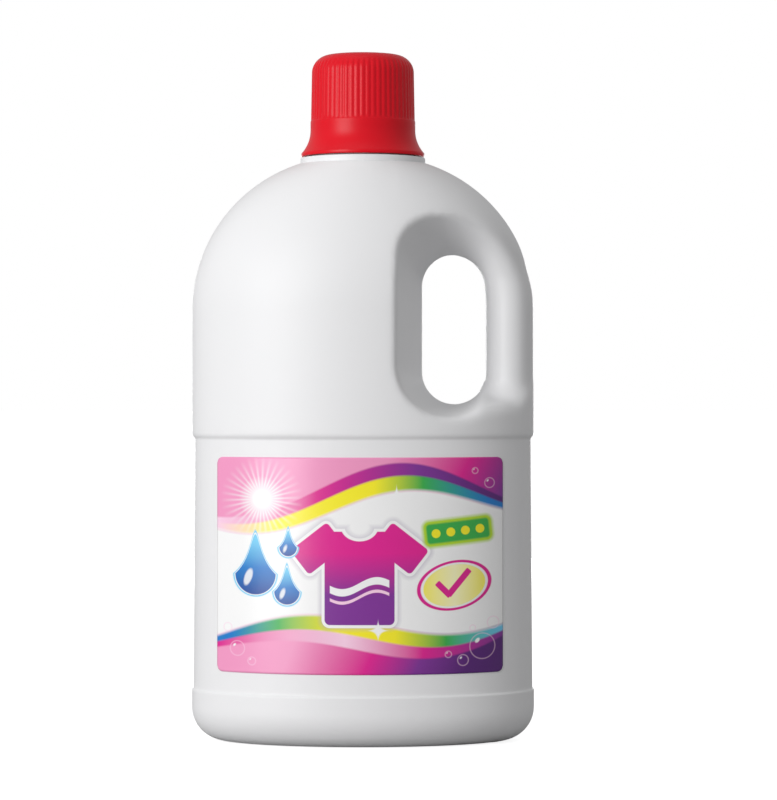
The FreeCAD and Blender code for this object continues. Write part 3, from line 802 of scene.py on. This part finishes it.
class BOTTLE_OT_skin(bpy.types.Operator):
    """Make the blown skin: outside, inside, and the threaded neck between them"""
    bl_idname = "bottle.skin"
    bl_label = "Blown Skin"

    def execute(self, context):
        p = context.scene.bottle_form
        w, d, wall, cell = p.half_width * 1000, p.half_depth * 1000, p.wall * 1000, p.cell * 1000
        rim, root = p.rim_round * 1000, p.root_round * 1000

        def outside(x, y, z):
            return skin_distance(x, y, z, w, d, rim, root)

        def inside(x, y, z):
            return outside(x, y, z) + wall

        outer = self.shell(outside, w, d, cell, MESH_LOW, LID_REACH)
        points, quads = self.shell(inside, w, d, cell * INSIDE_CELL, MESH_INSIDE_LOW, LID_INSIDE_REACH)
        ob = mesh_piece("blown_bottle", *join([outer, (points, quads[:, ::-1]), self.neck(w)]))
        ob.data.materials.append(self.material(p.white))
        piece("blown_bottle", "bottle", ["bottle"])
        return {"FINISHED"}

    def shell(self, distance, w, d, size, low, reach):
        """The surface where a distance is zero, on a grid of cells of a size, cut
        level at the top, settled below it, and open where the neck stands."""
        rows = [(z, min(size, most)) for z, most in MESH_ROWS]
        zs = spaced([(low, size)] + rows + [(MESH_FINE, TOP_CELL), (MESH_TOP + 1.0, 1)])
        xs = spaced([(-w - MESH_BORDER, size), (w + MESH_BORDER, 1)])
        ys = spaced([(-d - MESH_BORDER, size), (d + MESH_BORDER, 1)])
        slabs = []
        for i in range(0, len(zs), SLAB):
            x, y, z = np.meshgrid(xs, ys, zs[i:i + SLAB], indexing="ij")
            slabs.append(np.maximum(distance(x, y, z), z - MESH_TOP))
        points, quads = surface_net(np.concatenate(slabs, 2), (xs, ys, zs))
        free = points[:, 2] < MESH_TOP - FIXED_TOP
        points[free] = settle(points[free], distance)
        corner = points[quads]
        lid = np.all(corner[:, :, 2] > LID_LOW, axis=1)
        out = np.hypot(corner[:, :, 0], corner[:, :, 1]).max(1)
        return points, quads[~(lid & (out < reach))]

    def neck(self, w):
        """The collar, the thread, the sealing rim and the bore, as one profile
        carried round. The thread adds to the radius: a rounded ridge that rises by
        one lead a turn and fades in and out at its ends."""
        collar = collar_radius(w)
        profile = rounded([
            (collar - COLLAR_BACK, COLLAR_LOW, 0), (collar - COLLAR_BACK, COLLAR_TOP, 0.4),
            (CONE_R, COLLAR_TOP, 0.5), (NECK_R, NECK_LOW, 2.0), (NECK_R, NECK_TOP, 0.5),
            (BORE_R, NECK_TOP, 0.4), (BORE_R, NECK_LOW, 2.0), (BORE_CONE_R, BORE_CONE_LOW, 1.5),
            (collar - COLLAR_INSIDE, COLLAR_INSIDE_LOW, 0)], 0.3)

        def thread(r, z, a):
            ridge = THREAD_OUT * thread_ridge(z, a, THREAD_LOW, NECK_TURNS)
            on_neck = np.abs(r - NECK_R) < 0.25
            return r + ridge * on_neck

        profile = refined(profile, NECK_R, THREAD_LOW - 2 * LEAD, NECK_TOP + LEAD, 1.5)
        return turned(profile, NECK_COLUMNS, thread)

    def material(self, white):
        """Satin white polyethylene, slightly wavy as blown walls are."""
        m, n, shader = principled(
            "satin_polyethylene", Base_Color=(*white, 1), IOR=1.5, Specular_IOR_Level=0.38)
        moulded(n, shader, Wave_size=26.0, Grain_size=2200.0, Wave=0.9, Grain=0.06,
                Roughness=0.45, Spread=0.06)
        return m


class BOTTLE_OT_cap(bpy.types.Operator):
    """Make the ribbed, flared screw cap and the wad in it"""
    bl_idname = "bottle.cap"
    bl_label = "Screw Cap"

    def execute(self, context):
        p = context.scene.cap_form
        count = p.ribs

        def relief(r, z, a):
            wave = 0.5 + 0.5 * np.cos(a * count)
            shown = ease((z - RIB_LOW) / GROOVE_RUN) * ease((r - GROOVE_EDGE) / GROOVE_FADE)
            groove = GROOVE * wave**GROOVE_SHARP * shown
            ridge = THREAD_OUT * thread_ridge(z, a, THREAD_LOW - LEAD / 2, CAP_TURNS)
            in_bore = np.abs(r - CAP_BORE_R) < 0.05
            return r - groove - ridge * in_bore

        points, quads = turned(self.profile(), count * RIB_COLUMNS, relief)
        ob = closed_piece("screw_cap", points, quads[:, ::-1])
        ob.data.materials.append(self.material(p.red))
        piece("screw_cap", "cap", ["cap"])
        self.wad()
        return {"FINISHED"}

    def profile(self):
        """The cap's closed section, from the middle of the roof down the outside
        and up the inside. The flare is an arc tangent to the band: its radius less
        the root of its radius squared less the fall squared."""
        flare_low = FLARE_TOP - math.sqrt(FLARE_R**2 - (FLARE_R - (RIM_R - BAND_R))**2)
        zs = FLARE_TOP - (FLARE_TOP - flare_low) * np.linspace(0, 1, FLARE_POINTS)
        flare = [(BAND_R + FLARE_R - math.sqrt(FLARE_R**2 - (FLARE_TOP - z)**2), z, 0) for z in zs[:-1]]
        outer = rounded([
            (0.0, CAP_TOP, 0), (RIB_R - DRAFT, CAP_TOP, CROWN_R), (RIB_R, RIB_LOW, 0.12),
            (BAND_R, BAND_TOP, 0.3), *flare, (RIM_R, flare_low, 0.25), (RIM_R, RIM_LOW, 0.35),
            (SKIRT_R, RIM_LOW, 0.3)], 0.3)
        inner = rounded([
            (SKIRT_R, RIM_LOW, 0), (CAP_BORE_R, FLARE_TOP, 1.5), (CAP_BORE_R, CAP_THREAD_LOW, 0),
            (CAP_BORE_R, CAP_THREAD_TOP, 0), (CAP_BORE_R, WAD_TOP, 0.4), (HOLLOW_R, WAD_TOP, 0.3),
            (HOLLOW_R, ROOF_LOW, 0.4), (0.0, ROOF_LOW, 0)], 0.4)
        section = np.concatenate([outer, inner[1:]])
        return refined(section, CAP_BORE_R, CAP_THREAD_LOW - 0.5, CAP_THREAD_TOP + 0.5, 1.0)

    def wad(self):
        """The foam disc that the cap holds against the neck's rim."""
        profile = rounded([
            (0, WAD_TOP, 0), (WAD_R, WAD_TOP, WAD_ROUND), (WAD_R, NECK_TOP, WAD_ROUND),
            (0, NECK_TOP, 0)], 0.1)
        ob = closed_piece("sealing_wad", *turned(profile, WAD_COLUMNS))
        m, n, shader = principled("sealing_foam", Base_Color=(0.78, 0.77, 0.73, 1), IOR=1.45)
        moulded(n, shader, Wave_size=400.0, Grain_size=4000.0, Wave=0.6, Grain=0.3,
                Roughness=0.7, Spread=0.1)
        ob.data.materials.append(m)
        piece("sealing_wad", "wad", ["cap_wad"])

    def material(self, red):
        """Red polypropylene, a little glossier than the bottle."""
        m, n, shader = principled(
            "red_polypropylene", Base_Color=(*red, 1), IOR=1.49, Specular_IOR_Level=0.22)
        moulded(n, shader, Wave_size=60.0, Grain_size=3000.0, Wave=0.3, Grain=0.05,
                Roughness=0.36, Spread=0.08)
        return m


class BOTTLE_OT_label(bpy.types.Operator):
    """Lay the printed film on the front panel"""
    bl_idname = "bottle.label"
    bl_label = "Front Label"

    def execute(self, context):
        p, form = context.scene.label_form, context.scene.bottle_form
        left, right, low, high = -p.left * 1000, p.right * 1000, p.low * 1000, p.high * 1000
        points, quads = self.film(
            form.half_width * 1000, form.half_depth * 1000, left, right, low, high,
            p.corner * 1000, p.film * 1000)
        ob = mesh_piece("printed_film", points, quads)
        me = ob.data
        corner = np.zeros(len(me.loops), int)
        me.loops.foreach_get("vertex_index", corner)
        at = points[corner]
        uv = np.stack([(at[:, 0] - left) / (right - left), (at[:, 2] - low) / (high - low)], 1)
        me.uv_layers.new(name="Print").data.foreach_set("uv", uv.ravel())
        me.materials.append(self.material(right - left, high - low))
        piece("printed_film", "bottle", ["front_label"])
        return {"FINISHED"}

    def film(self, w, d, left, right, low, high, r, film):
        """A grid across and up the panel's oval, with round corners: each column is
        shortened at both ends by the corner's arc. The front stands off the panel
        along its normal, the back lies in the wall, and a strip joins them."""
        cols, rows = FILM_COLUMNS, FILM_ROWS
        xs = mix(left, right, np.linspace(0, 1, cols))
        inset = np.maximum(r - np.minimum(xs - left, right - xs), 0)
        bite = r - np.sqrt(np.maximum(r * r - inset * inset, 0))
        x = np.repeat(xs[:, None], rows, 1)
        z = (low + bite)[:, None] + (high - low - 2 * bite)[:, None] * np.linspace(0, 1, rows)
        (a, _), (b, _) = half_sizes(z, w, d)
        lift = film + FILM_PROUD
        y = -np.sqrt(np.maximum(1 - (x / a)**2, 0)) * b
        nx, ny = x / a**2, y / b**2
        size = np.hypot(nx, ny)
        nx, ny = nx / size, ny / size
        front = np.stack([x + nx * lift, y + ny * lift, z], 2)
        back = np.stack([x - nx * FILM_SUNK, y - ny * FILM_SUNK, z], 2)
        points = np.concatenate([front.reshape(-1, 3), back.reshape(-1, 3)])
        i, j = np.meshgrid(np.arange(cols - 1), np.arange(rows - 1), indexing="ij")
        at, right_of = i * rows + j, (i + 1) * rows + j
        quads = np.stack([at, right_of, right_of + 1, at + 1], 2).reshape(-1, 4)
        n = cols * rows
        edge = np.concatenate([
            np.arange(cols) * rows, (cols - 1) * rows + np.arange(1, rows),
            np.arange(cols - 2, -1, -1) * rows + rows - 1, np.arange(rows - 2, 0, -1)])
        following = np.roll(edge, -1)
        sides = np.stack([edge, edge + n, following + n, following], 1)
        return points, np.concatenate([quads, (quads + n)[:, ::-1], sides])

    def material(self, width, height):
        """The print: flat fields of colour and simple shapes, each one a formula in
        millimetres from the middle of the label."""
        m, n, shader = principled("printed_film", Roughness=0.3, IOR=1.5)
        split = n.add("ShaderNodeSeparateXYZ", {"Vector": n.add("ShaderNodeUVMap", uv_map="Print")})
        x = (Value(n, split.outputs[0]) - 0.5) * width
        y = (Value(n, split.outputs[1]) - 0.5) * height
        art = Artwork(n, x, y)
        art.ground()
        art.waves()
        art.burst(-40.0, 27.0)
        art.shirt(0.0, -1.5, 1.35)
        art.drops()
        art.badges()
        art.bubbles()
        n.put(shader.inputs["Base Color"], art.colour)
        bump = n.add("ShaderNodeBump", {"Height": art.raised.socket, "Strength": 0.15, "Distance": 0.00003})
        n.put(shader.inputs["Normal"], bump)
        return m


class BOTTLE_OT_studio(bpy.types.Operator):
    """Make the floor, the soft lamps and the camera"""
    bl_idname = "bottle.studio"
    bl_label = "Studio"

    def execute(self, context):
        scene = context.scene
        scene.view_settings.view_transform = "Standard"
        floor = self.floor(scene)
        self.world(scene)
        self.lamps(scene)
        eye = self.camera(scene)
        return {"FINISHED"}

    def floor(self, scene):
        """A square floor that lights the object as a grey one and looks paler."""
        far = FLOOR_HALF
        me = bpy.data.meshes.new("floor")
        square = [(-far, -far, 0), (far, -far, 0), (far, far, 0), (-far, far, 0)]
        me.from_pydata(square, [], [(0, 1, 2, 3)])
        m, n, shader = principled("pale_floor", Base_Color=FLOOR_GREY, Roughness=0.9, Emission_Strength=1.0)
        seen = n.add("ShaderNodeLightPath").outputs["Is Camera Ray"]
        n.put(shader.inputs["Emission Color"], n.blend(seen, (0, 0, 0, 1), FLOOR_SEEN))
        me.materials.append(m)
        floor = bpy.data.objects.new("floor", me)
        scene.collection.objects.link(floor)
        return floor

    def world(self, scene):
        """White where the camera sees it, and dimmer as light."""
        world = bpy.data.worlds.new("studio")
        scene.world = world
        world.use_nodes = True
        n = Nodes(world.node_tree)
        back = world.node_tree.nodes["Background"]
        seen = n.add("ShaderNodeLightPath").outputs["Is Camera Ray"]
        n.put(back.inputs["Color"], (1, 1, 1, 1))
        n.put(back.inputs["Strength"], n.math("MAXIMUM", seen, ROUND_LIGHT))

    def lamps(self, scene):
        """Soft rectangles of light, each turned from straight down to its aim."""
        for name, at, size, power, aim in LAMPS:
            data = bpy.data.lights.new(name, "AREA")
            data.shape, data.size, data.size_y, data.energy = "RECTANGLE", size[0], size[1], power
            lamp = bpy.data.objects.new(name, data)
            scene.collection.objects.link(lamp)
            lamp.location = at
            way = np.array(aim) - np.array(at)
            lamp.rotation_euler = (math.atan2(math.hypot(way[0], way[1]), -way[2]), 0,
                                   math.atan2(-way[0], way[1]))

    def camera(self, scene):
        """A level camera in front."""
        cam = bpy.data.cameras.new("view")
        cam.sensor_width, cam.sensor_fit = SENSOR, "AUTO"
        cam.lens = FOCAL_PIXELS / LONG_PIXELS * SENSOR
        eye = bpy.data.objects.new("view", cam)
        scene.collection.objects.link(eye)
        eye.location = CAMERA_AT
        eye.rotation_euler = (math.pi / 2, 0, 0)
        scene.camera = eye
        return eye


class BOTTLE_PT_panel(bpy.types.Panel):
    bl_label = "Bottle"
    bl_idname = "BOTTLE_PT_panel"
    bl_space_type = "VIEW_3D"
    bl_region_type = "UI"
    bl_category = "Bottle"

    def draw(self, context):
        for kind in OPERATORS:
            self.layout.operator(kind.bl_idname)
        for form in (context.scene.bottle_form, context.scene.cap_form, context.scene.label_form):
            for prop in form.bl_rna.properties:
                if prop.identifier not in ("rna_type", "name"):
                    self.layout.prop(form, prop.identifier)


OPERATORS = (BOTTLE_OT_skin, BOTTLE_OT_cap, BOTTLE_OT_label, BOTTLE_OT_studio)
CLASSES = (BottleForm, CapForm, LabelForm) + OPERATORS + (BOTTLE_PT_panel,)


def register():
    for kind in CLASSES:
        bpy.utils.register_class(kind)
    bpy.types.Scene.bottle_form = PTR(type=BottleForm)
    bpy.types.Scene.cap_form = PTR(type=CapForm)
    bpy.types.Scene.label_form = PTR(type=LabelForm)


def unregister():
    del bpy.types.Scene.bottle_form, bpy.types.Scene.cap_form, bpy.types.Scene.label_form
    for kind in reversed(CLASSES):
        bpy.utils.unregister_class(kind)


def main():
    register()
    bpy.ops.bottle.skin()
    bpy.ops.bottle.cap()
    bpy.ops.bottle.label()
    bpy.ops.bottle.studio()


if __name__ == "__main__":
    main()
